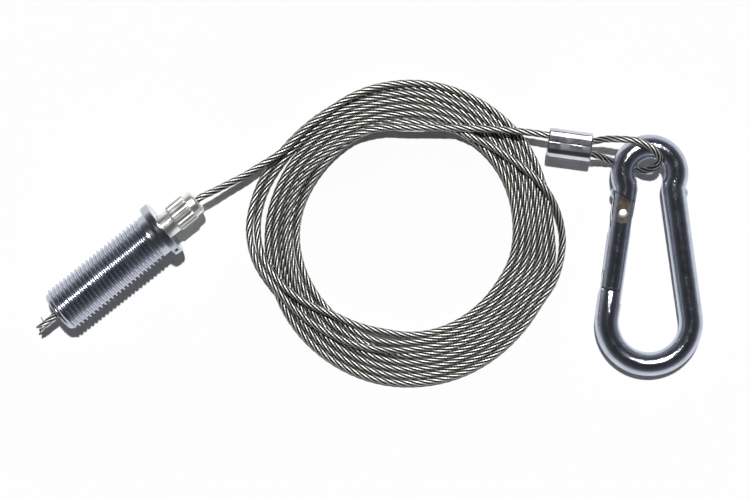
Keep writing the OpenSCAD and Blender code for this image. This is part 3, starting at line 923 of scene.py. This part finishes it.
def make_gate():
    """A round bar with two flat ears for the rivet, and slots for the tongue and the latch."""
    rows = np.concatenate([[-GATE_LEN, -GATE_LEN + 0.15], np.linspace(-GATE_LEN + 0.5, 6.0, 50)])
    body = sweep("gate_bar", [(0, y, 0) for y in rows],
                 [GATE_R - 0.14] + [GATE_R] * (len(rows) - 1), 64, gate_frame, 30)
    lip = sweep("lip", [(0, y, 0) for y in np.linspace(-GATE_LEN - 2.8, -GATE_LEN + 0.5, 8)],
                GATE_R - 0.005, 64, gate_frame, 35)
    carve(lip, [cutter(box_outline(-6, 1.45, -GATE_LEN - 6, -GATE_LEN + 3), gate_frame)])
    corner = [(1.1, 8.0)] + arc((0, 0), 3.2, 69.9, 0, 6) + [(8, 0), (8, 8)]
    ears = box_outline(-4, 4, -1.9, 12)
    tongue_slot = box_outline(-4, 4, -3.3, 12)
    latch_slot = box_outline(-4, 1.15, -GATE_LEN - 1, -12.4)
    cuts = [cutter(box_outline(-10, 20, -0.14, 10), shoulder_frame()),
            cutter(corner[::-1], gate_frame),
            cutter(ears, gate_frame, low=EAR_HALF),
            cutter(ears, gate_frame, high=-EAR_HALF),
            cutter(tongue_slot, gate_frame, -SLOT_HALF, SLOT_HALF),
            cutter(latch_slot, gate_frame, -SLOT_HALF, SLOT_HALF),
            sweep("cut", [(0, y, 0) for y in (-10.3, -6.0, -2.0, 0.0)], 1.35, 40, gate_frame)]
    carve(body, cuts)
    return carve(body, [lip], "UNION")


def make_rivet():
    """A peened rivet: domed heads with a slightly uneven edge."""
    head = [(1.98, 0.98), (2.06, 1.0), (2.14, 0.94), (2.21, 0.8), (2.26, 0.55), (2.28, 0.25),
            (2.28, 0.02)]
    profile = [(-x, r) for x, r in head[::-1]] + [(-1.98, 0.95), (1.98, 0.95)] + head

    def uneven(x, a):
        on_head = abs(x) > 1.97
        return 0.03 * math.sin(2 * a + 0.5) + 0.02 * math.sin(5 * a) if on_head else 0.0

    return lathe("rivet_pin", profile, gate_frame @ turn(-90, "Y"), 48, uneven, sharp=50)


def paint_ears(piece):
    """The flat faces about the rivet get the second, near-black material."""
    to_gate = np.linalg.inv(np.array(gate_frame))
    for polygon in piece.data.polygons:
        c = to_gate @ np.array([*(np.array(polygon.center) / MM), 1.0])
        n = to_gate[:3, :3] @ np.array(polygon.normal)
        flat = abs(abs(n[2]) - 1) < 1e-3 and abs(abs(c[2]) - EAR_HALF) < 0.02
        if flat and -2.2 < c[1] < 5.2 and abs(c[0]) < 3:
            polygon.material_index = 1


hook = make_hook()
gate = make_gate()
rivet = make_rivet()
paint(hook, hook_plate)
paint(gate, hook_plate, ear_metal)
paint_ears(gate)
paint(rivet, bright_steel)
for piece, body, node, slot in ((hook, "hook", "hook_body", "hook_plate"),
                                (gate, "gate", "gate", "hook_plate"),
                                (rivet, "hook", "gate_rivet", "rivet_steel")):
    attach(piece, body)
    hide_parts(node)

gate_coil = make_spring("gate_spring_wire", gate_frame, 0.95, -10.3, -5.2, 7, 0.35, "Y")
paint(gate_coil, spring_metal)
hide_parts("gate_spring")
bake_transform(gate_coil)

for node, material in (("ball_cage", brass), ("clamping_ball_upper", ball_metal),
                       ("clamping_ball_left", ball_metal), ("clamping_ball_right", ball_metal),
                       ("gate_pusher", ball_metal)):
    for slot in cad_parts[node].material_slots:
        slot.material = material


# ---------------------------------------------------------------- floor and light

FLOOR_HALF = 2500
# Brightness of the world against the height of the direction: 0 level, 1 straight up
SKY = [(0.0, 0.55), (0.1, 0.5), (0.3, 0.2), (0.55, 0.09), (1.0, 0.036)]
SUN_STRENGTH = 3.33
SUN_FROM = (0, 0.34, 1)
SUN_WIDTH = 2.5


def add_stage():
    """A pale matt floor."""
    material, _, shader, _ = nodes_of("floor")
    shader.inputs["Base Color"].default_value = (0.9, 0.9, 0.9, 1)
    shader.inputs["Roughness"].default_value = 0.9
    shader.inputs["Specular IOR Level"].default_value = 0.1
    corners = box_outline(-FLOOR_HALF, FLOOR_HALF, -FLOOR_HALF, FLOOR_HALF)
    floor = add_mesh("floor", [(x, y, 0) for x, y in corners], [(0, 1, 2, 3)])
    paint(floor, material)


def add_sun():
    """One hard light from high up on the +Y side, which draws the short shadows."""
    data = bpy.data.lights.new("key", "SUN")
    data.energy = SUN_STRENGTH
    data.angle = math.radians(SUN_WIDTH)
    sun = bpy.data.objects.new("key", data)
    sun.location = SUN_FROM
    sun.rotation_euler = (-Vector(SUN_FROM)).to_track_quat("-Z", "Y").to_euler()
    bpy.context.scene.collection.objects.link(sun)


def add_world():
    """A world that is bright near the horizon and dark overhead, as the metal shows it."""
    world = bpy.data.worlds.new("world")
    bpy.context.scene.world = world
    world.use_nodes = True
    tree = world.node_tree
    split = tree.nodes.new("ShaderNodeSeparateXYZ")
    grade = tree.nodes.new("ShaderNodeValToRGB")
    elements = grade.color_ramp.elements
    for place, _ in SKY[1:-1]:
        elements.new(place)
    # A new element can move the others, so they are set once all are there.
    for element, (place, level) in zip(elements, SKY):
        element.position = place
        element.color = (0.92 * level, 0.94 * level, level, 1)
    tree.links.new(tree.nodes.new("ShaderNodeTexCoord").outputs["Generated"],
                   split.inputs["Vector"])
    tree.links.new(split.outputs["Z"], grade.inputs["Fac"])
    tree.links.new(grade.outputs["Color"], tree.nodes["Background"].inputs["Color"])
    bpy.context.scene.view_settings.view_transform = "Standard"


add_stage()
add_world()
add_sun()
